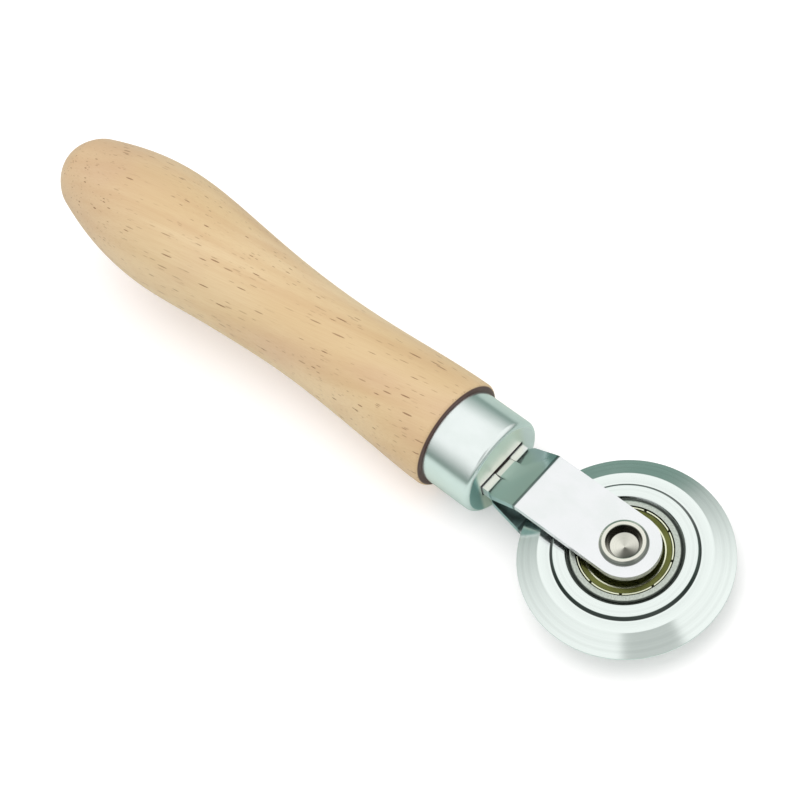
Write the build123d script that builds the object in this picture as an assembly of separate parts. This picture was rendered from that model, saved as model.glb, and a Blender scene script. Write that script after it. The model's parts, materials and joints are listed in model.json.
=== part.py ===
from build123d import *
import os
from math import asin, atan2, cos, degrees, hypot, pi, radians, sqrt, tan

# Hand tool with a free-running bevel-edged steel wheel: a turned beech handle, a drawn
# ferrule, a two-plate pressed fork, and a wheel on a shielded ball bearing.
#
# The tool is drawn in its own axes: wheel centre at 0, wheel axle along Z, handle along -X.
# At the end it is laid on its side on the surface Z = 0.  The steel end is the heavy one, so
# it rests nose down, on the handle's front shoulder and on the rivet head behind the fork.
# All sizes are in millimetres.

# ---- driving dimensions -------------------------------------------------------------

# wheel
wheel_dia = 43.0
wheel_edge_flat = 0.3
bevel_inner_dia = 34.4
web_width = 5.6
boss_base_dia = 29.4
boss_top_dia = 28.2
bore_chamfer = 0.75

# ball bearing, 8 x 22 x 7
bearing_bore = 8.0
bearing_od = 22.0
bearing_width = 7.0
inner_shoulder_dia = 12.1
inner_ring_corner = 0.3
outer_shoulder_dia = 18.0
outer_ring_corner = 0.45
ball_count = 7
ball_dia = 3.969
pitch_dia = 15.0
groove_radius = 2.08
raceway_gap = 0.03
shield_seat_dia = 19.4
shield_seat_depth = 0.75
shield_seat_gap = 0.04
shield_sheet = 0.25
shield_step_dia = 15.1
shield_step_run = 0.3
shield_step_drop = 0.3
shield_bore_dia = 12.7
shield_curl_width = 0.5
shield_curl_below_face = 0.1
shield_curl_taper = 0.15
shield_notches = 9
shield_notch_width = 0.32
shield_notch_depth = 0.25
shield_first_notch = 24.0
cage_sheet = 0.22
cage_width = 1.6
pocket_gap = 0.06
cage_rivet_dia = 0.6
cage_rivet_head_dia = 0.95
cage_rivet_head_height = 0.18
cage_cut_height = 4.0

# fork plates
plate = 1.5
arm_width = 14.0
arm_end_x = 0.45
arm_outer_z = 6.5
web_start_width = 13.6
web_start_x = -28.9
neck_width = 12.4
neck_end_x = -29.9
neck_fillet = 0.5
bend_in_x = -30.3
bend_out_x = -22.1
bend_in_radius = 0.6
bend_out_radius = 1.9
tang_width = 10.0
tang_shoulder_x = -42.0
tang_tip_x = -84.0
tang_tip_width = 6.0
tang_taper = 10.0
first_barb_from_shoulder = 4.0
barb_pitch = 6.0
barb_count = 4
barb_height = 0.5
barb_length = 3.0
dart_start_x = -32.0
dart_slope = 20.0
dart_top_width = 4.4
dart_side_run = 0.6
dart_depth = 1.2
dart_round = 0.5

# axle rivet
rivet_dia = 7.96
rivet_hole_dia = 8.1
rivet_head_dia = 11.0
rivet_head_flat_dia = 8.8
rivet_head_height = 1.3
rivet_head_side = (0.25, 0.45)
lip_dia = 9.9
lip_height = 0.95
lip_crest_width = 0.35
lip_outer_round = 0.75
lip_inner_round = 0.5
dimple_dia = 5.8
dimple_depth = 2.0
dimple_cone = 0.7
washer_dia = 12.0
washer_corner = 0.2

# ferrule
ferrule_dia = 21.6
ferrule_sheet = 0.8
ferrule_front_x = -32.0
ferrule_back_x = -44.3
ferrule_corner = 1.3
slot_side_gap = 0.25
slot_height_gap = 0.6
slot_reach = 3.0

# handle, as (X, radius) along its axis
butt_x = -160.6
butt_dome = 6.4
butt_radius = 9.0
butt_flare = 0.35
bulge = (-128.0, 13.7)
waist = (-83.0, 10.8)
shoulder_round = 1.0
shoulder = (ferrule_back_x - shoulder_round, 12.32)
handle_profile = [(-143.0, 12.2), bulge, (-113.5, 12.62), waist, (-62.0, 11.56), shoulder]
spigot_end_gap = 0.2
spigot_chamfer = 0.7
tang_hole_end_x = -86.0
tang_mouth_gap = 0.4
cut_past = 4.0

# turn of the handle's and the rivet's seams away from the lines they rest on
handle_seam_turn = 1.35
rivet_seam_turn = 2.5

# ---- derived sizes ------------------------------------------------------------------

half_width = bearing_width / 2
arm_inner_z = arm_outer_z - plate
ball_radius = ball_dia / 2
pitch_radius = pitch_dia / 2
ball_step = 360 / ball_count
bend_angle = atan2(arm_outer_z - plate, bend_out_x - bend_in_x)
bend_shift = plate * tan(bend_angle / 2)
outline_depth = 40.0


def turned(points):
    """Solid of revolution about Z from a closed (radius, z) outline of straight sides."""
    outline = make_face(Polyline(*points, close=True))
    return revolve(Plane.XZ * outline, Axis.Z)


def mirrored(solid):
    """The same piece on the other side of the wheel's middle plane."""
    return mirror(solid, about=Plane.XY)


def around(count, piece, start=0.0):
    """Copies of a piece turned in equal steps about Z."""
    return [Rot(Z=start + k * 360 / count) * piece for k in range(count)]


# ---- wheel and bearing --------------------------------------------------------------

def make_wheel():
    web = web_width / 2
    edge = wheel_edge_flat / 2
    bore = bearing_od / 2
    half = [
        (wheel_dia / 2, edge),
        (bevel_inner_dia / 2, web),
        (boss_base_dia / 2, web),
        (boss_top_dia / 2, half_width),
        (bore + bore_chamfer, half_width),
        (bore, half_width - bore_chamfer),
    ]
    other = [(r, -z) for r, z in reversed(half)]
    return turned(half + other)


def make_outer_ring():
    seat_z = half_width - shield_seat_depth
    corner = outer_ring_corner
    half = [
        (bearing_od / 2, half_width - corner),
        (bearing_od / 2 - corner, half_width),
        (shield_seat_dia / 2, half_width),
        (shield_seat_dia / 2, seat_z),
        (outer_shoulder_dia / 2, seat_z),
    ]
    other = [(r, -z) for r, z in reversed(half)]
    groove_x = pitch_radius + ball_radius + raceway_gap - groove_radius
    groove = revolve(Plane.XZ * Pos(groove_x, 0) * Circle(groove_radius), Axis.Z)
    return turned(half + other) - groove


def make_inner_ring():
    corner = inner_ring_corner
    shoulder_r = inner_shoulder_dia / 2
    half = [
        (bearing_bore / 2, half_width - corner),
        (bearing_bore / 2 + corner, half_width),
        (shoulder_r, half_width),
    ]
    other = [(r, -z) for r, z in reversed(half)]
    groove_x = pitch_radius - ball_radius - raceway_gap + groove_radius
    groove = revolve(Plane.XZ * Pos(groove_x, 0) * Circle(groove_radius), Axis.Z)
    return turned(half + other) - groove


def make_shield():
    """Pressed dust shield: a stepped disc whose rim is curled into the outer ring."""
    t = shield_sheet
    taper = shield_curl_taper
    high = half_width - shield_seat_depth + shield_curl_below_face
    low = high - shield_step_drop
    curl_top = half_width - shield_curl_below_face
    bore = shield_bore_dia / 2
    step = shield_step_dia / 2
    rim = shield_seat_dia / 2 - shield_seat_gap
    inside = rim - shield_curl_width
    disc = turned([
        (bore, low),
        (step, low),
        (step + shield_step_run, high),
        (rim, high),
        (rim, curl_top - t),
        (rim - taper, curl_top),
        (inside + taper, curl_top),
        (inside, curl_top - taper),
        (inside, high + t),
        (step + shield_step_run - t / 2, high + t),
        (step - t / 2, low + t),
        (bore, low + t),
    ])
    cutter = Box(2 * shield_curl_width, shield_notch_width, 2 * shield_notch_depth)
    return disc - around(shield_notches, Pos(rim, 0, curl_top) * cutter, shield_first_notch)


def make_cage_half():
    """Front half of the ribbon cage: a flat ring with a domed pocket over each ball."""
    inner = pitch_radius - cage_width / 2
    outer = pitch_radius + cage_width / 2
    pocket = ball_radius + pocket_gap
    shell = pocket + cage_sheet
    tall = cage_cut_height
    flat_ring = Cylinder(outer, cage_sheet, align=(Align.CENTER, Align.CENTER, Align.MIN))
    domes = around(ball_count, Pos(pitch_radius, 0, 0) * Sphere(shell))
    upper = Cylinder(outer, tall, align=(Align.CENTER, Align.CENTER, Align.MIN))
    core = Cylinder(inner, 2 * tall)
    hollows = around(ball_count, Pos(pitch_radius, 0, 0) * Sphere(pocket))
    holes = around(ball_count, Pos(pitch_radius, 0, 0) * Cylinder(cage_rivet_dia / 2, tall), ball_step / 2)
    body = flat_ring + [dome & upper for dome in domes]
    return body - core - hollows - holes


def make_cage_rivets():
    """The small rivets that join the two cage halves between the balls."""
    shank = Cylinder(cage_rivet_dia / 2, 2 * cage_sheet)
    head_z = cage_sheet + cage_rivet_head_height / 2
    head = Cylinder(cage_rivet_head_dia / 2, cage_rivet_head_height)
    rivet = shank + Pos(0, 0, head_z) * head + Pos(0, 0, -head_z) * head
    return Compound(children=around(ball_count, Pos(pitch_radius, 0, 0) * rivet, ball_step / 2))


def make_ball(index):
    return Rot(Z=index * ball_step) * Pos(pitch_radius, 0, 0) * Sphere(ball_radius)


# ---- axle rivet and washers ---------------------------------------------------------

def make_rivet():
    """Axle rivet: factory head behind, and a dimpled end rolled outwards in front."""
    shank = rivet_dia / 2
    head = rivet_head_dia / 2
    flat = rivet_head_flat_dia / 2
    back = -arm_outer_z - rivet_head_height
    side_in, side_up = rivet_head_side
    lip = lip_dia / 2
    top = arm_outer_z + lip_height
    crest = lip - lip_outer_round
    inner_crest = crest - lip_crest_width
    mouth = inner_crest - lip_inner_round
    floor_z = top - dimple_depth
    outer_mid = (lip - lip_outer_round / 4, top - lip_outer_round / 2)
    inner_mid = (inner_crest - 0.7 * lip_inner_round, top - 0.3 * lip_inner_round)
    with BuildSketch(Plane.XZ) as section:
        with BuildLine():
            Line((0, back), (flat, back))
            ThreePointArc((flat, back), (head - side_in, back + side_up), (head, -arm_outer_z))
            Polyline((head, -arm_outer_z), (shank, -arm_outer_z), (shank, arm_outer_z), (lip, arm_outer_z))
            ThreePointArc((lip, arm_outer_z), outer_mid, (crest, top))
            Line((crest, top), (inner_crest, top))
            ThreePointArc((inner_crest, top), inner_mid, (mouth, top - lip_inner_round))
            Polyline((mouth, top - lip_inner_round), (dimple_dia / 2, floor_z),
                     (0, floor_z - dimple_cone), (0, back))
        make_face()
    return Rot(Z=rivet_seam_turn) * revolve(section.sketch, Axis.Z)


def make_washer():
    """Spacer washer between the bearing's inner ring and a fork arm."""
    corner = washer_corner
    height = arm_inner_z - half_width
    low = half_width
    bore = rivet_hole_dia / 2
    rim = washer_dia / 2
    return turned([
        (bore, low),
        (rim - corner, low),
        (rim, low + corner),
        (rim, low + height - corner),
        (rim - corner, low + height),
        (bore, low + height),
    ])


# ---- fork ---------------------------------------------------------------------------

def fork_side_view():
    """The plate seen from the side: tang, rising web and arm, all of one thickness."""
    far = arm_width
    outer = [(tang_tip_x, plate), (bend_in_x, plate), (bend_out_x, arm_outer_z), (far, arm_outer_z)]
    inner = [
        (tang_tip_x, 0),
        (bend_in_x + bend_shift, 0),
        (bend_out_x + bend_shift, arm_inner_z),
        (far, arm_inner_z),
    ]
    with BuildSketch(Plane.XZ) as section:
        with BuildLine():
            FilletPolyline(*outer, radius=[bend_in_radius, bend_out_radius])
            Line(outer[-1], inner[-1])
            FilletPolyline(*inner, radius=[bend_in_radius + plate, bend_out_radius - plate])
            Line(inner[0], outer[0])
        make_face()
    return extrude(section.sketch, amount=arm_width, both=True)


def fork_outline():
    """The plate's flat outline: round arm end, web, neck, shoulders and barbed tang."""
    arm = arm_width / 2
    web = web_start_width / 2
    neck = neck_width / 2
    tang = tang_width / 2
    tip = tang_tip_width / 2
    barbs = []
    for k in range(barb_count):
        root_x = tang_shoulder_x - first_barb_from_shoulder - k * barb_pitch
        barbs += [(root_x, tang), (root_x, tang + barb_height), (root_x - barb_length, tang)]
    edge = [(bend_out_x, arm), (web_start_x, web), (neck_end_x, neck)]
    edge += [(tang_shoulder_x, neck), (tang_shoulder_x, tang)]
    edge += barbs + [(tang_tip_x + tang_taper, tang), (tang_tip_x, tip)]
    lower = [(x, -y) for x, y in reversed(edge)]
    with BuildSketch() as flat:
        with BuildLine():
            Polyline(*edge, *lower)
            Line(lower[-1], (arm_end_x, -arm))
            ThreePointArc((arm_end_x, -arm), (arm_end_x + arm, 0), (arm_end_x, arm))
            Line((arm_end_x, arm), edge[0])
        make_face()
        with Locations((0, 0)):
            Circle(rivet_hole_dia / 2, mode=Mode.SUBTRACT)
        shoulders = flat.vertices().filter_by(lambda v: neck_end_x - 1 < v.X < web_start_x + 1)
        fillet(shoulders, radius=neck_fillet)
    return extrude(flat.sketch, amount=outline_depth)


def dart(top_width, sink):
    """A prism with sloping sides along the stiffening dart, sunk below the dart's top."""
    half = top_width / 2
    foot = half + dart_side_run
    web_rise = tan(bend_angle)
    dart_rise = tan(radians(dart_slope))
    meet_x = (bend_in_x * web_rise - dart_start_x * dart_rise) / (web_rise - dart_rise)
    length = (meet_x - dart_start_x) / cos(radians(dart_slope))
    corners = [(-foot, -dart_depth), (foot, -dart_depth), (half, 0), (-half, 0)]
    bar = extrude(Plane.YZ * Polygon(*corners, align=None), amount=length)
    bar = fillet(bar.edges().filter_by(Axis.X).group_by(Axis.Z)[-1], radius=dart_round)
    return Pos(dart_start_x, 0, plate) * Rot(Y=-dart_slope) * Pos(0, 0, -sink) * bar


def make_fork_plate():
    bent = fork_side_view()
    blank = fork_outline()
    raised = dart(dart_top_width, 0)
    pressed = dart(dart_top_width - plate, plate)
    return ((bent & blank) + raised) - pressed


# ---- ferrule and handle -------------------------------------------------------------

def make_ferrule():
    """Drawn cup with rounded front corner and a slot for the two tangs."""
    rim = ferrule_dia / 2
    inside = rim - ferrule_sheet
    floor_x = ferrule_front_x - ferrule_sheet
    corner = ferrule_corner
    inner_corner = corner - ferrule_sheet
    k = 1 - sqrt(0.5)
    with BuildSketch(Plane.XZ) as section:
        with BuildLine():
            Polyline((ferrule_front_x, 0), (ferrule_front_x, rim - corner))
            ThreePointArc(
                (ferrule_front_x, rim - corner),
                (ferrule_front_x - corner * k, rim - corner * k),
                (ferrule_front_x - corner, rim))
            Polyline((ferrule_front_x - corner, rim), (ferrule_back_x, rim), (ferrule_back_x, inside),
                     (floor_x - inner_corner, inside))
            ThreePointArc(
                (floor_x - inner_corner, inside),
                (floor_x - inner_corner * k, inside - inner_corner * k),
                (floor_x, inside - inner_corner))
            Polyline((floor_x, inside - inner_corner), (floor_x, 0), (ferrule_front_x, 0))
        make_face()
    cup = revolve(section.sketch, Axis.X)
    slot = Box(2 * slot_reach, neck_width + 2 * slot_side_gap, 2 * (plate + slot_height_gap))
    return cup - Pos(ferrule_front_x, 0, 0) * slot


def make_handle():
    """Turned wooden handle with a spigot for the ferrule and a hole for the tangs."""
    spigot = ferrule_dia / 2 - ferrule_sheet
    spigot_x = ferrule_front_x - ferrule_sheet - spigot_end_gap
    dome_x = butt_x + butt_dome
    mid = cos(pi / 4)
    arc_mid = (dome_x - butt_dome * mid, butt_radius * mid - butt_flare * butt_dome * mid ** 3)
    with BuildSketch(Plane.XZ) as section:
        with BuildLine():
            Spline((butt_x, 0), arc_mid, (dome_x, butt_radius), tangents=[(0, 1), (1, butt_flare)])
            Spline((dome_x, butt_radius), *handle_profile, tangents=[(1, butt_flare), (1, 0.02)])
            face_r = shoulder[1] - shoulder_round
            ThreePointArc(
                shoulder,
                (shoulder[0] + shoulder_round * mid, shoulder[1] - shoulder_round * (1 - mid)),
                (ferrule_back_x, face_r))
            Polyline((ferrule_back_x, face_r), (ferrule_back_x, spigot),
                     (spigot_x - spigot_chamfer, spigot), (spigot_x, spigot - spigot_chamfer),
                     (spigot_x, 0), (butt_x, 0))
        make_face()
    body = Rot(X=handle_seam_turn) * revolve(section.sketch, Axis.X)
    from_end = (Align.MIN, Align.CENTER, Align.CENTER)
    mouth_x = tang_shoulder_x - tang_mouth_gap
    hole = Box(spigot_x - tang_hole_end_x + cut_past, tang_width, 2 * plate, align=from_end)
    mouth = Box(spigot_x - mouth_x + cut_past, neck_width, 2 * plate, align=from_end)
    return body - Pos(tang_hole_end_x, 0, 0) * hole - Pos(mouth_x, 0, 0) * mouth


# ---- assembly -----------------------------------------------------------------------

def all_pieces():
    plate_front = make_fork_plate()
    washer = make_washer()
    shield = make_shield()
    cage_half = make_cage_half()
    pieces = {
        "handle": make_handle(),
        "ferrule": make_ferrule(),
        "fork_plate_front": plate_front,
        "fork_plate_rear": mirrored(plate_front),
        "axle_rivet": make_rivet(),
        "spacer_washer_front": washer,
        "spacer_washer_rear": mirrored(washer),
        "wheel": make_wheel(),
        "bearing_outer_ring": make_outer_ring(),
        "bearing_inner_ring": make_inner_ring(),
        "bearing_shield_front": shield,
        "bearing_shield_rear": mirrored(shield),
        "cage_half_front": cage_half,
        "cage_half_rear": mirrored(cage_half),
        "cage_rivets": make_cage_rivets(),
    }
    for k in range(ball_count):
        pieces[f"bearing_ball_{k + 1}"] = make_ball(k)
    return pieces


def laying(pieces):
    """The move that lays the tool on its side: nose down about Y, then lifted on to Z = 0."""
    reach = rivet_head_flat_dia / 2 - shoulder[0]
    drop = shoulder[1] - shoulder_round - arm_outer_z - rivet_head_height
    tilt = degrees(atan2(drop, reach) + asin(shoulder_round / hypot(drop, reach)))
    tilted = Compound(children=[Rot(Y=tilt) * pieces[name] for name in ("handle", "axle_rivet", "wheel")])
    box = tilted.bounding_box(optimal=True)
    return Pos(-(box.min.X + box.max.X) / 2, 0, -box.min.Z) * Rot(Y=tilt), tilt


pieces = all_pieces()
move, tilt = laying(pieces)
os.makedirs("parts", exist_ok=True)
for name, piece in pieces.items():
    export_step(move * piece, f"parts/{name}.step")
centre = move.position
print("tilt in degrees", round(tilt, 4))
print("wheel centre", round(centre.X, 4), round(centre.Y, 4), round(centre.Z, 4))
print("nodes", len(pieces))
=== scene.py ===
import json
import math

import bmesh
import bpy
import numpy as np
from mathutils import Matrix, Vector


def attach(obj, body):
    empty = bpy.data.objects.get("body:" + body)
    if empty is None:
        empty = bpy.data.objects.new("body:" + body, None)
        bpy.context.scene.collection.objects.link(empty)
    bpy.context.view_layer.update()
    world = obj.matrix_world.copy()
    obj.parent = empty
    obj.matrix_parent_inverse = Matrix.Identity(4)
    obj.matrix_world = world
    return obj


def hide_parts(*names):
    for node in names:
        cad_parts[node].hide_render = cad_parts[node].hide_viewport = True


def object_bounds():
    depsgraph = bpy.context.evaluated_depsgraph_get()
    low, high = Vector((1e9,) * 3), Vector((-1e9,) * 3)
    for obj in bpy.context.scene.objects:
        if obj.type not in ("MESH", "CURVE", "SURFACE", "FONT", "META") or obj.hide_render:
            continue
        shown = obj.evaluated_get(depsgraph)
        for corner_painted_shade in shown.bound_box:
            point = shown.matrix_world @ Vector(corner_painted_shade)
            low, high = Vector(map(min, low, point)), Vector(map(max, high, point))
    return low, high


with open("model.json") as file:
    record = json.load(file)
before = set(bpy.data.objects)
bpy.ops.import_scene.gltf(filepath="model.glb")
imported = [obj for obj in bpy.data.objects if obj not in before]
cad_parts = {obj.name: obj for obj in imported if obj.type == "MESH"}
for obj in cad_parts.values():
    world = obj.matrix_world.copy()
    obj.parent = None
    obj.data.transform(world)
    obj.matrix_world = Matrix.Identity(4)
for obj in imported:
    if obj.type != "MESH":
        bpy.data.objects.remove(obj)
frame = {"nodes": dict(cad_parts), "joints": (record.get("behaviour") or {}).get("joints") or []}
cad_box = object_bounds()

MM = 0.001

# ---- the tool's own axes ----------------------------------------------------------------
# The wheel's centre is their origin, the wheel's axle their Z, and the handle runs along -X.
# The sections below are drawn in these axes, in millimetres, as (radius or height, position).

SPIN = next(j for j in frame["joints"] if j["name"] == "wheel_spin")
AXLE = Vector(SPIN["axis"]).normalized()
SIDE = Vector((0, 1, 0))
AHEAD = SIDE.cross(AXLE)
TOOL = Matrix.Translation(SPIN["pos_m"]) @ Matrix((AHEAD, SIDE, AXLE)).transposed().to_4x4()


# ---- camera -----------------------------------------------------------------------------

EYE = (137.2, -130.4, 396.0)
LOOK_AT = (-59.4, -0.9, 0.0)
ROLL = -16.74
LENS = 100.3


def make_camera():
    data = bpy.data.cameras.new("camera")
    camera = bpy.data.objects.new("camera", data)
    bpy.context.scene.collection.objects.link(camera)
    data.lens = LENS
    data.sensor_width = 36.0
    data.clip_start = 0.01
    data.clip_end = 50.0
    eye = Vector(EYE) * MM
    back = (eye - Vector(LOOK_AT) * MM).normalized()
    right = Vector((0, 0, 1)).cross(back).normalized()
    turn = Matrix((right, back.cross(right), back)).transposed().to_4x4()
    turn = turn @ Matrix.Rotation(math.radians(ROLL), 4, "Z")
    camera.matrix_world = TOOL @ Matrix.Translation(eye) @ turn
    bpy.context.scene.camera = camera


# ---- node helpers -----------------------------------------------------------------------

class Nodes:
    """A short way to add nodes to a node tree."""

    def __init__(self, tree):
        self.tree = tree

    def add(self, kind, inputs=None, **settings):
        node = self.tree.nodes.new("ShaderNode" + kind)
        for key, value in settings.items():
            setattr(node, key, value)
        for key, value in (inputs or {}).items():
            self.put(node.inputs[key], value)
        return node

    def put(self, socket, value):
        if isinstance(value, bpy.types.NodeSocket):
            self.tree.links.new(value, socket)
        elif isinstance(value, bpy.types.Node):
            self.tree.links.new(value.outputs[0], socket)
        else:
            socket.default_value = value

    def math(self, operation, *values):
        return self.add("Math", dict(enumerate(values)), operation=operation)

    def ramp(self, value, low, high, start=0.0, end=1.0):
        """Goes smoothly from start to end as the value goes from low to high."""
        return self.add("MapRange", {"Value": value, "From Min": low, "From Max": high, "To Min": start,
                                     "To Max": end}, interpolation_type="SMOOTHSTEP")

    def mix(self, factor, first, second):
        return self.add("Mix", {0: factor, 6: first, 7: second}, data_type="RGBA").outputs[2]


# ---- floor, light and surroundings ------------------------------------------------------

def make_floor():
    """A plain pale floor. In glossy rays only it carries painted shade: darker the farther it is from the
    tool and on the +Y side, a painted pool of light near the tool.
    """
    mesh = bpy.data.meshes.new("floor")
    form = bmesh.new()
    bmesh.ops.create_grid(form, x_segments=8, y_segments=8, size=4.0)
    form.to_mesh(mesh)
    form.free()
    floor = bpy.data.objects.new("floor", mesh)
    floor.location.z = cad_box[0][2]
    bpy.context.scene.collection.objects.link(floor)
    paint = Paint("floor", Roughness=0.9, Specular_IOR_Level=0.1)
    rays = paint.add("LightPath")
    spot = paint.add("NewGeometry").outputs["Position"]
    # Painted shade, glossy rays only: the mirrored floor darkens with distance from the tool and towards +Y.
    painted_shade_away = paint.ramp(paint.add("VectorMath", {0: spot}, operation="LENGTH").outputs["Value"], 0.08, 0.5)
    painted_shade_far_side = paint.ramp(paint.add("SeparateXYZ", {"Vector": spot}).outputs["Y"], -0.02, 0.05)
    near = paint.mix(painted_shade_far_side, (0.66, 0.78, 0.73, 1), (0.46, 0.57, 0.52, 1))
    mirrored = paint.mix(painted_shade_away, near, (0.24, 0.33, 0.29, 1))
    paint.drive("Base Color", paint.mix(rays.outputs["Is Glossy Ray"], (0.95, 0.93, 0.93, 1), mirrored))
    paint.drive("Emission Color", (1, 1, 1, 1))
    paint.drive("Emission Strength", paint.math("MULTIPLY", rays.outputs["Is Camera Ray"], 0.22))
    mesh.materials.append(paint.material)


def softbox(name, place, aim, size, power, colour=(1, 1, 1)):
    data = bpy.data.lights.new(name, "AREA")
    data.shape = "RECTANGLE"
    data.size, data.size_y = size
    data.energy = power
    data.color = colour
    lamp = bpy.data.objects.new(name, data)
    bpy.context.scene.collection.objects.link(lamp)
    lamp.visible_glossy = False
    toward = Vector(aim) - Vector(place)
    lamp.matrix_world = Matrix.Translation(place) @ toward.to_track_quat("-Z", "Y").to_matrix().to_4x4()


def make_surroundings():
    """What the metal mirrors: a pale ceiling, dusk low down, one dim grey-green side and a stand.

    Everything that isn't a mirror is lit by a plain pale sky instead."""
    world = bpy.data.worlds.new("studio")
    bpy.context.scene.world = world
    world.use_nodes = True
    world.node_tree.nodes.clear()
    n = Nodes(world.node_tree)
    toward = n.add("TexCoord").outputs["Generated"]
    height = n.add("SeparateXYZ", {"Vector": toward}).outputs["Z"]

    def nearness(azimuth, elevation=None):
        """The cosine of the angle to a direction, or only of the angle between the two azimuths."""
        turn, lift = math.radians(azimuth), math.radians(elevation or 0)
        aim = (math.cos(turn) * math.cos(lift), math.sin(turn) * math.cos(lift), math.sin(lift))
        where = toward
        if elevation is None:
            level = n.add("VectorMath", {0: toward, 1: (1, 1, 0)}, operation="MULTIPLY")
            where = n.add("VectorMath", {0: level}, operation="NORMALIZE").outputs[0]
        return n.add("VectorMath", {0: where, 1: aim}, operation="DOT_PRODUCT").outputs["Value"]

    ceiling = (1.0, 1.04, 1.02, 1)
    dusk = (0.17, 0.24, 0.21, 1)
    low = n.mix(n.ramp(height, -0.05, 0.8), dusk, ceiling)
    high = n.mix(n.ramp(height, -0.05, 0.48), dusk, ceiling)
    sides = n.mix(n.ramp(nearness(50), -0.3, 0.6), low, high)
    dim = n.mix(n.ramp(nearness(143, 10), 0.72, 0.94), sides, (0.20, 0.31, 0.27, 1))
    stand = n.ramp(nearness(-28, 45), 0.93, 0.97)
    mirrored = n.mix(n.math("MULTIPLY", stand, 0.85), dim, (0.50, 0.54, 0.52, 1))
    lit = n.mix(n.ramp(height, 0.1, 0.9), (0.70, 0.71, 0.71, 1), (1.0, 1.0, 1.0, 1))
    rays = n.add("LightPath")
    seen = n.mix(rays.outputs["Is Glossy Ray"], lit, mirrored)
    back = n.add("Background", {"Color": n.mix(rays.outputs["Is Camera Ray"], seen, (0.94, 0.95, 0.95, 1))})
    n.add("OutputWorld", {"Surface": back})


def make_light():
    make_surroundings()
    softbox("overhead", (-0.1, 0.05, 1.1), (0, 0, 0), (0.9, 0.9), 3.2)
    bpy.context.scene.view_settings.view_transform = "Standard"


# ---- materials --------------------------------------------------------------------------

def srgb(red, green, blue):
    """A colour as seen on a screen, 0 to 255, as linear light."""
    def linear(value):
        value /= 255
        return value / 12.92 if value <= 0.04045 else ((value + 0.055) / 1.055) ** 2.4
    return (linear(red), linear(green), linear(blue), 1.0)


class Paint(Nodes):
    """A material, drawn in the tool's own axes and in millimetres."""

    def __init__(self, name, **sockets):
        self.material = bpy.data.materials.new(name)
        self.material.use_nodes = True
        super().__init__(self.material.node_tree)
        self.surface = self.tree.nodes["Principled BSDF"]
        for socket, value in sockets.items():
            self.drive(socket.replace("_", " "), value)

    def drive(self, socket, value):
        self.put(self.surface.inputs[socket], value)

    def place(self, scale=(1, 1, 1), turn=(0, 0, 0)):
        """Object coordinates in millimetres, turned and then divided by a size along each axis."""
        where = self.add("TexCoord")
        turned = self.add("Mapping", {"Vector": where.outputs["Object"], "Rotation": turn})
        per_mm = tuple(1000 / s for s in scale)
        return self.add("Mapping", {"Vector": turned, "Scale": per_mm})

    def noise(self, size, detail=3.0, rough=0.5, turn=(0, 0, 0), seed=0.0):
        """Soft noise whose blobs are about size millimetres along each axis."""
        where = self.place(size, turn)
        inputs = {"Vector": where, "W": seed, "Scale": 1.0, "Detail": detail, "Roughness": rough}
        return self.add("TexNoise", inputs, noise_dimensions="4D")

    def bump(self, height, depth_mm, under=None):
        node = self.add("Bump", {"Height": height, "Distance": depth_mm * MM, "Strength": 1.0})
        if under is not None:
            self.put(node.inputs["Normal"], under)
        return node

    def radius(self):
        """Distance from the axle in millimetres."""
        flat = self.add("VectorMath", {0: self.place(), 1: (1, 1, 0)}, operation="MULTIPLY")
        return self.add("VectorMath", {0: flat}, operation="LENGTH").outputs["Value"]

    def between(self, value, low, high, edge):
        """1 between low and high, falling to 0 over the edge on both sides."""
        rise = self.ramp(value, low - edge, low)
        return self.math("MULTIPLY", rise, self.ramp(value, high, high + edge, 1.0, 0.0))

    def lathe_rings(self, spacing, seed=0.0):
        """A value that changes only with the distance from the axle, like the marks of a lathe tool."""
        along = self.math("MULTIPLY_ADD", self.radius(), 1 / spacing, seed)
        return self.add("TexNoise", {"W": along, "Scale": 1.0, "Detail": 3.0, "Roughness": 0.6},
                        noise_dimensions="1D")


def wood_flecks(p, size, turn, seed, strength):
    """Short dark dashes along the grain, one in each cell of the given size."""
    inputs = {"Vector": p.place(size, turn), "W": seed, "Scale": 1.0}
    cells = p.add("TexVoronoi", inputs, voronoi_dimensions="4D")
    pick = p.add("SeparateColor", {"Color": cells.outputs["Color"]})
    reach = p.ramp(pick.outputs["Red"], 0.0, 1.0, 0.18, 0.36)
    mask = p.ramp(p.math("SUBTRACT", reach, cells.outputs["Distance"]), 0.0, 0.09)
    return p.math("MULTIPLY", mask, p.ramp(pick.outputs["Green"], 0.15, 0.9, 0.1, strength))


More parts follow.
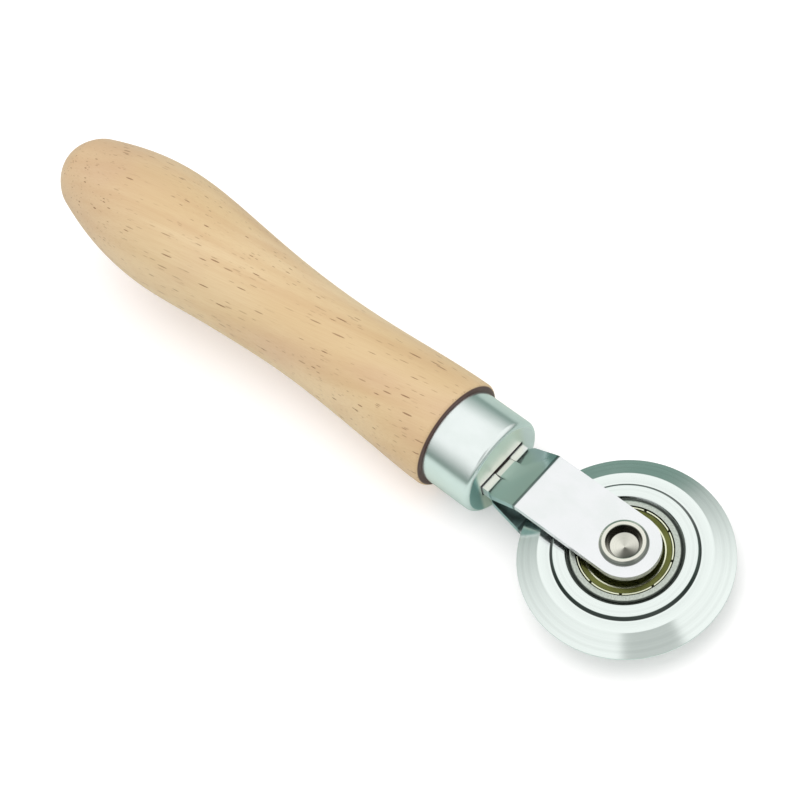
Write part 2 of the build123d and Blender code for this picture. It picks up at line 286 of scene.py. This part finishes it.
def beech():
    """Turned beech: soft growth bands, fine fibres, short dark ray flecks, and a dark ring at the shoulder
    that is partly burnished end grain and partly painted shade at the ferrule joint.
    """
    p = Paint("beech", IOR=1.5, Specular_IOR_Level=0.8)
    grain = (0, math.radians(2), math.radians(-10))
    where = p.add("SeparateXYZ", {"Vector": p.place()})
    zones = p.noise((60, 11, 14), detail=2.0, turn=grain, seed=3.1)
    colour = p.mix(p.ramp(zones, 0.35, 0.65), srgb(226, 200, 157), srgb(217, 187, 140))
    bands = p.noise((220, 2.6, 5.0), turn=grain, seed=1.7)
    colour = p.mix(p.ramp(bands, 0.38, 0.72, 0.0, 0.5), colour, srgb(205, 168, 122))
    blush = p.noise((30, 14, 14), detail=1.0, turn=grain, seed=8.4)
    butt = p.ramp(where.outputs["X"], -150, -118, 0.45, 0.0)
    pink = p.math("MAXIMUM", p.ramp(blush, 0.45, 0.7, 0.0, 0.6), butt)
    colour = p.mix(pink, colour, srgb(208, 172, 138))
    fibres = p.noise((9, 0.16, 0.3), rough=0.65, turn=grain, seed=5.0)
    colour = p.mix(p.ramp(fibres, 0.35, 0.75, 0.0, 0.2), colour, srgb(190, 146, 100))
    strong = wood_flecks(p, (5.6, 0.5, 0.5), grain, 0.0, 0.9)
    faint = wood_flecks(p, (3.8, 0.36, 0.36), grain, 7.0, 0.5)
    flecks = p.math("MAXIMUM", strong, faint)
    colour = p.mix(flecks, colour, srgb(142, 98, 60))
    # Dark ring on the shoulder's front face and the spigot: partly burnished end grain, partly painted shade
    # where the wood meets the ferrule.
    front = p.ramp(where.outputs["X"], HANDLE_END - 0.5, HANDLE_END - 0.4)
    level = p.add("VectorMath", {0: p.place(), 1: (0, 1, 1)}, operation="MULTIPLY")
    radius = p.add("VectorMath", {0: level}, operation="LENGTH").outputs["Value"]
    ring = p.ramp(radius, BURNT_AND_SHADED_RADIUS - 0.12, BURNT_AND_SHADED_RADIUS + 0.08, 1.0, 0.0)
    streaks = p.noise((1.5, 1.5, 1.5), seed=2.0)
    char_and_painted_shade = p.mix(streaks, srgb(66, 36, 32), srgb(98, 60, 50))
    p.drive("Base Color", p.mix(p.math("MULTIPLY", front, ring), colour, char_and_painted_shade))
    p.drive("Roughness", p.ramp(fibres, 0.3, 0.8, 0.42, 0.55))
    p.drive("Normal", p.bump(flecks, -0.04, under=p.bump(fibres, 0.01)))
    return p.material


def zinc_plate(name, pale, cloudy, dull=None):
    """Bright zinc on pressed sheet: pale, a little cloudy, and never quite flat.

    dull, if given, adds the places where the plating is duller, along with painted reflection and shade on
    them: it takes the paint, the colour and the roughness, and returns the new two."""
    p = Paint(name, Metallic=1.0)
    clouds = p.noise((7, 5, 5), seed=4.0)
    colour = p.mix(p.ramp(clouds, 0.35, 0.7), pale, cloudy)
    spangle = p.noise((0.5, 0.5, 0.5), detail=4.0, rough=0.7, seed=9.0)
    colour = p.mix(p.ramp(spangle, 0.5, 0.8, 0.0, 0.2), colour, srgb(206, 214, 211))
    rough = p.ramp(clouds, 0.3, 0.75, 0.19, 0.25).outputs[0]
    if dull is not None:
        colour, rough = dull(p, colour, rough)
    p.drive("Base Color", colour)
    p.drive("Roughness", rough)
    waves = p.noise((4.5, 4.5, 4.5), detail=1.0, seed=6.0)
    p.drive("Normal", p.bump(spangle, 0.0015, under=p.bump(waves, 0.008)))
    return p.material


def drawn_face_painted_reflection(p, colour, rough):
    """The ferrule's drawn end: duller than its side, yellowish in the middle, and darker teal low down, a
    painted reflection.
    """
    where = p.add("SeparateXYZ", {"Vector": p.place()})
    face = p.ramp(where.outputs["X"], FERRULE_FACE - 0.12, FERRULE_FACE - 0.02)
    tint_and_painted_reflection = p.mix(p.ramp(where.outputs["Y"], 5.5, 8.0), srgb(248, 249, 236), srgb(249, 250, 250))
    # Painted reflection: the face turns darker teal towards -Y.
    tint_and_painted_reflection = p.mix(p.ramp(where.outputs["Y"], -7.5, -6.3, 1.0, 0.0), tint_and_painted_reflection, srgb(166, 200, 196))
    return p.mix(face, colour, tint_and_painted_reflection), p.add("Mix", {0: face, 2: rough, 3: 0.4}).outputs[0]


def pressed_web_painted_shade(p, colour, rough):
    """The fork's sloping webs, tinted teal by a painted reflection, with painted shade as a darker line
    along the outer bend.

    The sheared edges of the plates are coarser than their faces."""
    x = p.add("SeparateXYZ", {"Vector": p.place()}).outputs["X"]
    web = p.between(x, WEB_START, WEB_END, 0.25)
    bend = p.between(x, WEB_END - 0.1, WEB_END + 0.35, 0.2)
    # Painted reflection: the sloping web is tinted teal.
    colour = p.mix(web, colour, srgb(184, 205, 204))
    normal = p.add("SeparateXYZ", {"Vector": p.add("TexCoord").outputs["Normal"]})
    facing = p.math("ABSOLUTE", normal.outputs["Z"])
    rough = p.add("Mix", {0: p.ramp(facing, 0.1, 0.35, 1.0, 0.0), 2: rough, 3: 0.45}).outputs[0]
    # Painted shade: a darker line along the outer bend.
    return p.mix(p.math("MULTIPLY", bend, 0.8), colour, srgb(96, 112, 110)), rough


def turned_steel():
    """Bright turned steel, with painted shade at the foot of the boss and, fainter, in the bore chamfer
    round the bearing.
    """
    p = Paint("turned_steel", Metallic=1.0, Anisotropic=0.3, Anisotropic_Rotation=0.25)
    fine = p.lathe_rings(0.12)
    broad = p.lathe_rings(1.1, 7.3)
    colour = p.mix(p.ramp(broad, 0.35, 0.65), srgb(240, 244, 242), srgb(233, 237, 235))
    colour = p.mix(p.ramp(fine, 0.6, 0.85, 0.0, 0.3), colour, srgb(205, 212, 209))
    radius = p.radius()
    height = p.math("ABSOLUTE", p.add("SeparateXYZ", {"Vector": p.place()}).outputs["Z"])
    # Painted shade: below the face, the boss step and more faintly the bore chamfer are darkened.
    below = p.ramp(height, FACE - 0.12, FACE - 0.02, 1.0, 0.0)
    step = p.between(radius, BOSS_RADIUS, BOSS_FOOT + 0.05, 0.05)
    bore = p.between(radius, 0.0, BORE_RADIUS + BORE_CHAMFER, 0.05)
    painted_shade_where = p.math("MAXIMUM", p.math("MULTIPLY", step, 0.9), p.math("MULTIPLY", bore, 0.3))
    colour = p.mix(p.math("MULTIPLY", below, painted_shade_where), colour, srgb(52, 56, 54))
    p.drive("Base Color", colour)
    smudge = p.noise((7, 7, 7), seed=2.5)
    p.drive("Roughness", p.ramp(smudge, 0.35, 0.7, 0.11, 0.17))
    p.drive("Tangent", p.add("Tangent", direction_type="RADIAL", axis="Z"))
    p.drive("Normal", p.bump(fine, 0.0012, under=p.bump(broad, 0.0008)))
    return p.material


def bearing_steel():
    """Ground rings: grey and speckled on the face, with painted shade darkening the outer edge where the
    ring meets the wheel.
    """
    p = Paint("bearing_steel", Metallic=1.0)
    speckle = p.noise((0.35, 0.35, 0.35), detail=4.0, rough=0.7, seed=1.0)
    colour = p.mix(p.ramp(speckle, 0.35, 0.7), srgb(208, 212, 204), srgb(176, 181, 172))
    # Painted shade: darker beyond RING_CORNER, where the ring meets the wheel.
    corner_painted_shade = p.ramp(p.radius(), RING_CORNER, RING_CORNER + 0.15)
    colour = p.mix(p.math("MULTIPLY", corner_painted_shade, 0.85), colour, srgb(50, 54, 50))
    p.drive("Base Color", colour)
    p.drive("Roughness", p.ramp(speckle, 0.3, 0.7, 0.28, 0.42))
    p.drive("Normal", p.bump(speckle, 0.002))
    return p.material


def shield_steel():
    """The pressed dust shield: a dull olive skin, with a painted highlight on the step and on top of the
    curled rim, and painted shade on the rest of the curled rim.
    """
    p = Paint("shield_steel", Metallic=1.0)
    tone = p.noise((3, 3, 3), seed=4.4)
    dull = p.mix(p.ramp(tone, 0.35, 0.7), srgb(112, 114, 64), srgb(94, 96, 52))
    radius = p.radius()
    height = p.math("ABSOLUTE", p.add("SeparateXYZ", {"Vector": p.place()}).outputs["Z"])
    # Painted highlight: a bright line just outside the step and on the top of the curled rim.
    curl_top_highlight = p.ramp(height, SHIELD_HIGH + 0.3, SHIELD_HIGH + 0.42)
    painted_highlight = p.math("MAXIMUM", p.between(radius, SHIELD_STEP + 0.22, SHIELD_STEP + 0.45, 0.08), curl_top_highlight)
    # Painted shade: near black beyond SHIELD_EDGE, on the sides of the curled rim.
    olive_with_painted_shade = p.mix(p.ramp(radius, SHIELD_EDGE - 0.03, SHIELD_EDGE + 0.05), dull, srgb(40, 40, 30))
    p.drive("Base Color", p.mix(painted_highlight, olive_with_painted_shade, srgb(244, 243, 216)))
    rings = p.lathe_rings(0.25, 2.0)
    p.drive("Roughness", p.ramp(rings, 0.3, 0.7, 0.18, 0.3))
    p.drive("Normal", p.bump(rings, 0.0015))
    return p.material


def nickel_rivet():
    """Nickel-plated rivet: fine turned rings, with light and dark wedges across the dimple painted as
    reflections, painted shade on the hole's side, and a painted darker outer rim.
    """
    p = Paint("nickel_rivet", Metallic=1.0, Anisotropic=0.75, Anisotropic_Rotation=0.25)
    where = p.add("SeparateXYZ", {"Vector": p.place()})
    turn = p.math("ARCTAN2", where.outputs["Y"], where.outputs["X"])
    radius = p.radius()
    rings = p.lathe_rings(0.1, 3.0)
    colour = p.mix(p.ramp(rings, 0.35, 0.7), srgb(240, 236, 226), srgb(222, 217, 207))

    # Painted reflection: light and dark wedges by angle round the axle stand in for the turned rings'
    # reflections.
    def painted_fan_wave(count, middle):
        return p.math("COSINE", p.math("MULTIPLY_ADD", turn, count, -count * math.radians(middle)))

    painted_fans = p.math("MULTIPLY_ADD", painted_fan_wave(1, 161), -0.27, p.math("MULTIPLY_ADD", painted_fan_wave(2, 50), -0.2, 0.34))
    dimple = p.ramp(radius, DIMPLE - 0.12, DIMPLE, 1.0, 0.0)
    colour = p.mix(p.math("MULTIPLY", dimple, p.ramp(painted_fans, 0.0, 0.8)), colour, srgb(104, 102, 95))
    # Painted shade: the hole's side is near black.
    wall_painted_shade = p.between(radius, DIMPLE, LIP_RADIUS - 1.5, 0.12)
    colour = p.mix(p.math("MULTIPLY", wall_painted_shade, 0.93), colour, srgb(54, 52, 48))
    # Painted shade: a darker outer rim, strongest on one side.
    outer = p.ramp(radius, LIP_RADIUS - 0.68, LIP_RADIUS - 0.5)
    band_painted_shade = p.math("MULTIPLY", outer, p.ramp(painted_fan_wave(1, -30), -0.9, 0.4))
    colour = p.mix(band_painted_shade, colour, srgb(132, 134, 128))
    p.drive("Base Color", colour)
    grit = p.noise((0.6, 0.6, 0.6), seed=6.1)
    p.drive("Roughness", p.ramp(grit, 0.3, 0.7, 0.12, 0.17))
    p.drive("Tangent", p.add("Tangent", direction_type="RADIAL", axis="Z"))
    p.drive("Normal", p.bump(rings, 0.0012))
    return p.material


def plain_steel(name, pale, dark, rough):
    """Small steel parts inside the hub."""
    p = Paint(name, Metallic=1.0)
    tone = p.noise((1.2, 1.2, 1.2), seed=7.0)
    p.drive("Base Color", p.mix(p.ramp(tone, 0.3, 0.7), pale, dark))
    p.drive("Roughness", p.ramp(tone, 0.3, 0.7, rough, rough + 0.12))
    p.drive("Normal", p.bump(tone, 0.002))
    return p.material


# ---- mesh tools -------------------------------------------------------------------------

def rounded(corners, steps=5):
    """A section from (x, y, radius) corners, with an arc of that radius at each inner one.

    A point on the straight beside each arc keeps the shading of the straight flat."""
    spots = [Vector(c[:2]) for c in corners]
    last = len(corners) - 1
    reach = [0.0] * len(corners)
    for k in range(1, last):
        opening = (spots[k - 1] - spots[k]).angle(spots[k + 1] - spots[k])
        reach[k] = corners[k][2] / math.tan(opening / 2)
    points = []
    for k, here in enumerate(spots):
        radius = corners[k][2]
        if radius <= 0 or k in (0, last):
            points.append(here)
            continue
        before = (spots[k - 1] - here).normalized()
        after = (spots[k + 1] - here).normalized()
        middle = here + (before + after).normalized() * radius / math.sin(before.angle(after) / 2)
        start = here + before * reach[k] - middle
        sweep = start.angle_signed(here + after * reach[k] - middle)
        arc = [middle + Matrix.Rotation(-sweep * i / steps, 2) @ start for i in range(steps + 1)]
        free_before = (spots[k - 1] - here).length - reach[k - 1] - reach[k]
        free_after = (spots[k + 1] - here).length - reach[k + 1] - reach[k]
        points.append(arc[0] + before * min(radius / 2, free_before / 3))
        points += arc
        points.append(arc[-1] + after * min(radius / 2, free_after / 3))
    return [tuple(p) for p in points]


def lathe(name, section, along="Z", closed=False, steps=256, shape=None):
    """A piece turned about one of the tool's axes from (radius, place) points in millimetres.

    shape, if given, moves each point: it takes (radius, place, angle) and returns the same kind."""
    form = bmesh.new()
    rings = []
    for radius, place in section:
        count = 1 if radius < 1e-6 else steps
        ring = []
        for k in range(count):
            angle = 2 * math.pi * k / steps
            r, z = (radius, place) if shape is None else shape(radius, place, angle)
            spot = (r * math.cos(angle), r * math.sin(angle), z)
            if along == "X":
                spot = (z, spot[0], spot[1])
            ring.append(form.verts.new(Vector(spot) * MM))
        rings.append(ring)
    pairs = list(zip(rings, rings[1:]))
    if closed:
        pairs.append((rings[-1], rings[0]))
    for low, high in pairs:
        for k in range(steps):
            n = (k + 1) % steps
            if len(low) == 1:
                form.faces.new((low[0], high[n], high[k]))
            elif len(high) == 1:
                form.faces.new((low[k], low[n], high[0]))
            else:
                form.faces.new((low[k], low[n], high[n], high[k]))
    bmesh.ops.recalc_face_normals(form, faces=form.faces)
    return piece(name, form)


def piece(name, form, sharp=38.0):
    """A mesh object in the tool's axes, smooth except across edges sharper than the given angle."""
    mesh = bpy.data.meshes.new(name)
    form.to_mesh(mesh)
    form.free()
    mesh.shade_smooth()
    mesh.set_sharp_from_angle(angle=math.radians(sharp))
    thing = bpy.data.objects.new(name, mesh)
    bpy.context.scene.collection.objects.link(thing)
    thing.matrix_world = TOOL
    return thing


def softened(name, node, width=0.22):
    """A CAD node's own shape with its sheared edges slightly rounded."""
    form = bmesh.new()
    form.from_mesh(frame["nodes"][node].data)
    form.transform(TOOL.inverted())
    bmesh.ops.remove_doubles(form, verts=form.verts, dist=1e-6)
    bmesh.ops.dissolve_limit(form, angle_limit=math.radians(0.6), verts=form.verts, edges=form.edges)
    thing = piece(name, form, sharp=30.0)
    bevel = thing.modifiers.new("edges", "BEVEL")
    bevel.width = width * MM
    bevel.segments = 3
    bevel.limit_method = "ANGLE"
    bevel.angle_limit = math.radians(40)
    bevel.harden_normals = True
    return thing


def finish_piece(thing, material, slot, body, *nodes):
    thing.data.materials.clear()
    thing.data.materials.append(material)
    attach(thing, body)
    if nodes:
        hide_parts(*nodes)


# ---- handle -----------------------------------------------------------------------------

HANDLE_BUTT = -160.6
HANDLE_END = -44.3
FERRULE_FACE = -32.0
WEB_START = -30.2
WEB_END = -22.5
SPIGOT_END = -33.0
BURNT_AND_SHADED_RADIUS = 11.9
DOME_LENGTH = 6.4
DOME_RADIUS = 9.0
DOME_FLARE = 0.35
SHOULDER_ROUND = 1.0
SHOULDER_RADIUS = 12.32
SPIGOT_RADIUS = 9.95
HANDLE_STATIONS = [(-143.0, 12.2), (-128.0, 13.7), (-113.5, 12.62), (-83.0, 10.8), (-62.0, 11.56)]


def spline(stations, start_slope, end_slope, step=0.7):
    """A smooth curve (cubic between stations, with the slopes given at its two ends)."""
    x = np.array([s[0] for s in stations])
    y = np.array([s[1] for s in stations])
    gap, rise = np.diff(x), np.diff(y) / np.diff(x)
    count = len(x)
    system, right = np.eye(count), np.zeros(count)
    right[0], right[-1] = start_slope, end_slope
    for k in range(1, count - 1):
        system[k, k - 1:k + 2] = gap[k], 2 * (gap[k - 1] + gap[k]), gap[k - 1]
        right[k] = 3 * (gap[k] * rise[k - 1] + gap[k - 1] * rise[k])
    slope = np.linalg.solve(system, right)
    points = []
    for k in range(count - 1):
        pieces_here = max(2, round(gap[k] / step))
        for t in np.arange(pieces_here) / pieces_here:
            h = gap[k]
            value = ((1 + 2 * t) * (1 - t) ** 2 * y[k] + t * (1 - t) ** 2 * h * slope[k]
                     + t * t * (3 - 2 * t) * y[k + 1] + t * t * (t - 1) * h * slope[k + 1])
            points.append((float(x[k] + t * h), float(value)))
    return points


def make_handle(material):
    dome_end = HANDLE_BUTT + DOME_LENGTH
    section = []
    for k in range(24):
        turn = math.pi / 2 * k / 24
        x = dome_end - DOME_LENGTH * math.cos(turn)
        section.append((DOME_RADIUS * math.sin(turn) + DOME_FLARE * (x - dome_end) * math.sin(turn) ** 2, x))
    shoulder = HANDLE_END - SHOULDER_ROUND
    stations = [(dome_end, DOME_RADIUS), *HANDLE_STATIONS, (shoulder, SHOULDER_RADIUS)]
    section += [(r, x) for x, r in spline(stations, DOME_FLARE, 0.02)]
    for k in range(7):
        turn = math.pi / 2 * k / 6
        r = SHOULDER_RADIUS - SHOULDER_ROUND * (1 - math.cos(turn))
        section.append((r, shoulder + SHOULDER_ROUND * math.sin(turn)))
    section += [(SPIGOT_RADIUS, HANDLE_END), (SPIGOT_RADIUS, SPIGOT_END), (0, SPIGOT_END)]

    def sanded(r, x, angle):
        """The slight unevenness that hand sanding leaves on a turned handle."""
        if x > HANDLE_END - 3:
            return r, x
        swell = 0.035 * math.sin(2 * angle + 0.11 * x) + 0.02 * math.sin(3 * angle - 0.23 * x)
        return r * (1 + swell / 12), x

    handle = lathe("handle_wood", section, along="X", steps=192, shape=sanded)
    finish_piece(handle, material, "beech", "root", "handle")


# ---- wheel and bearing ------------------------------------------------------------------

RIM_RADIUS = 21.5
RIM_HALF = 0.15
WEB_RADIUS = 17.2
WEB_HALF = 2.8
BOSS_FOOT = 14.7
BOSS_RADIUS = 14.1
FACE = 3.5
BORE_RADIUS = 11.0
BORE_CHAMFER = 0.75
SEAT_RADIUS = 9.7
RING_CORNER = 10.7


def two_sided(front):
    """A closed section from its front half, which starts and ends on the middle plane."""
    return front + [(r, -z) for r, z in reversed(front[1:-1])]


def make_wheel(material):
    front = rounded([
        (RIM_RADIUS, 0, 0),
        (RIM_RADIUS, RIM_HALF, 0.06),
        (WEB_RADIUS, WEB_HALF, 0.12),
        (BOSS_FOOT, WEB_HALF, 0.06),
        (BOSS_RADIUS, FACE, 0.08),
        (BORE_RADIUS + BORE_CHAMFER, FACE, 0.08),
        (BORE_RADIUS, FACE - BORE_CHAMFER, 0.05),
        (BORE_RADIUS, 0, 0),
    ])
    wheel = lathe("wheel_steel", two_sided(front), closed=True)
    finish_piece(wheel, material, "turned_steel", "wheel", "wheel")


GROOVE_RADIUS = 2.08
GROOVE_OUT = 7.4345
GROOVE_IN = 7.5655
INNER_RADIUS = 6.05
INNER_BORE = 4.0


def raceway(centre, start, end, outward):
    """Points of the ball groove from one angle to another, in degrees from the middle plane."""
    points = []
    for angle in np.radians(np.linspace(start, end, 9)):
        points.append((centre + outward * GROOVE_RADIUS * math.cos(angle), GROOVE_RADIUS * math.sin(angle)))
    return points


def make_outer_ring(material):
    side = rounded([
        (BORE_RADIUS, 0, 0),
        (BORE_RADIUS, FACE, 0.5),
        (SEAT_RADIUS, FACE, 0.06),
        (SEAT_RADIUS, 2.75, 0.05),
        (9.0, 2.75, 0.05),
        (9.0, 1.37, 0),
    ])
    front = side[:-1] + raceway(GROOVE_OUT, 41, 0, 1)
    ring = lathe("outer_ring_steel", two_sided(front), closed=True)
    finish_piece(ring, material, "bearing_steel", "wheel", "bearing_outer_ring")


SHIELD_LOW = 2.55
SHIELD_HIGH = 2.85
SHIELD_SHEET = 0.25
SHIELD_STEP = 7.55
SHIELD_RIM = 9.52
SHIELD_BORE = 6.35
SHIELD_EDGE = 9.05
CURL_WIDTH = 0.42
CURL_TOP = 3.42
NOTCHES = 9
NOTCH_FIRST = math.radians(24)
NOTCH_HALF = 0.2
NOTCH_EDGE = 0.08


def make_shield(name, side, material, node):
    """The stepped disc, with its rim curled over and cut by small notches."""
    inside = SHIELD_RIM - CURL_WIDTH
    section = rounded([
        (SHIELD_BORE, SHIELD_LOW, 0),
        (SHIELD_STEP, SHIELD_LOW, 0.1),
        (SHIELD_STEP + 0.3, SHIELD_HIGH, 0.1),
        (SEAT_RADIUS - 0.04, SHIELD_HIGH, 0.08),
        (SEAT_RADIUS - 0.04, SHIELD_HIGH + 0.15, 0.05),
        (SHIELD_RIM, SHIELD_HIGH + 0.25, 0.05),
        (SHIELD_RIM, CURL_TOP, 0.19),
        (inside, CURL_TOP, 0.19),
        (inside, SHIELD_HIGH + SHIELD_SHEET, 0.08),
        (SHIELD_STEP + 0.17, SHIELD_HIGH + SHIELD_SHEET, 0.12),
        (SHIELD_STEP - 0.13, SHIELD_LOW + SHIELD_SHEET, 0.12),
        (SHIELD_BORE, SHIELD_LOW + SHIELD_SHEET, 0.06),
        (SHIELD_BORE, SHIELD_LOW, 0),
    ])[:-1]
    plain = SHIELD_HIGH + SHIELD_SHEET
    pitch = 2 * math.pi / NOTCHES

    def notched(r, z, angle):
        off = abs((angle - NOTCH_FIRST + pitch / 2) % pitch - pitch / 2) * SHIELD_RIM
        kept = min(1.0, max(0.0, (off - NOTCH_HALF) / NOTCH_EDGE))
        if z > plain:
            z = plain + (z - plain) * kept
        return r, z * side

    shield = lathe(name, section, closed=True, steps=720, shape=notched)
    finish_piece(shield, material, "shield_steel", "wheel", node)


def make_inner_ring(material):
    side = rounded([
        (INNER_RADIUS, 1.45, 0),
        (INNER_RADIUS, FACE, 0.12),
        (INNER_BORE, FACE, 0.3),
        (INNER_BORE, 0, 0),
    ])
    front = raceway(GROOVE_IN, 0, 43, -1) + side[1:]
    ring = lathe("inner_ring_steel", two_sided(front), closed=True, steps=192)
    finish_piece(ring, material, "bearing_steel", "root", "bearing_inner_ring")


PLATE = 1.5
WASHER_BORE = 4.05
WASHER_RADIUS = 6.0


def make_washer(name, side, material, node):
    low, high = FACE * side, (ARM_FACE - PLATE) * side
    section = rounded([
        (WASHER_BORE, low, 0),
        (WASHER_RADIUS, low, 0.2),
        (WASHER_RADIUS, high, 0.2),
        (WASHER_BORE, high, 0),
    ])
    washer = lathe(name, section, closed=True, steps=192)
    finish_piece(washer, material, "washer_steel", "root", node)


# ---- axle rivet -------------------------------------------------------------------------

ARM_FACE = 6.5
HEAD_FACE = 7.8
LIP_TOP = 7.45
LIP_RADIUS = 4.95
DIMPLE = 2.85
SHANK = 3.98
HEAD_RADIUS = 5.5


def make_rivet(material):
    section = rounded([
        (0, LIP_TOP - 2.7, 0),
        (DIMPLE, LIP_TOP - 2.0, 0.12),
        (LIP_RADIUS - 1.6, LIP_TOP - 0.6, 0.4),
        (LIP_RADIUS - 1.3, LIP_TOP, 0.3),
        (LIP_RADIUS - 0.68, LIP_TOP, 0.3),
        (LIP_RADIUS - 0.12, LIP_TOP - 0.45, 0.35),
        (LIP_RADIUS, ARM_FACE, 0),
        (SHANK, ARM_FACE, 0),
        (SHANK, -ARM_FACE, 0),
        (HEAD_RADIUS, -ARM_FACE, 0.1),
        (HEAD_RADIUS - 0.2, 0.45 - HEAD_FACE, 0.55),
        (HEAD_RADIUS - 1.1, -HEAD_FACE, 0.9),
        (0, -HEAD_FACE, 0),
    ], 7)
    rivet = lathe("rivet_nickel", section, steps=192)
    finish_piece(rivet, material, "nickel_rivet", "root", "axle_rivet")


# ---- build ------------------------------------------------------------------------------

def main():
    make_camera()
    make_floor()
    make_light()
    fork_zinc = zinc_plate("zinc_fork", srgb(243, 241, 244), srgb(238, 238, 239), pressed_web_painted_shade)
    ferrule_zinc = zinc_plate("zinc_ferrule", srgb(240, 243, 243), srgb(235, 239, 238), drawn_face_painted_reflection)
    wheel_steel = turned_steel()
    ring_steel = bearing_steel()
    shield = shield_steel()
    washer = plain_steel("washer_steel", srgb(150, 152, 148), srgb(112, 116, 112), 0.35)
    cage = plain_steel("cage_steel", srgb(176, 172, 160), srgb(140, 136, 124), 0.3)
    balls = plain_steel("ball_steel", srgb(232, 233, 232), srgb(220, 222, 221), 0.06)

    make_handle(beech())
    finish_piece(softened("ferrule_zinc", "ferrule", 0.12), ferrule_zinc, "zinc_plate", "root", "ferrule")
    for side in ("front", "rear"):
        node = f"fork_plate_{side}"
        finish_piece(softened(f"fork_{side}_zinc", node), fork_zinc, "zinc_plate", "root", node)
    make_wheel(wheel_steel)
    make_outer_ring(ring_steel)
    make_inner_ring(ring_steel)
    for name, side in (("front", 1), ("rear", -1)):
        make_shield(f"shield_{name}_steel", side, shield, f"bearing_shield_{name}")
        make_washer(f"washer_{name}_steel", side, washer, f"spacer_washer_{name}")
    make_rivet(nickel_rivet())
    for node, thing in frame["nodes"].items():
        if node.startswith("bearing_ball"):
            thing.data.materials.clear()
            thing.data.materials.append(balls)
        elif node.startswith("cage"):
            thing.data.materials.clear()
            thing.data.materials.append(cage)


main()
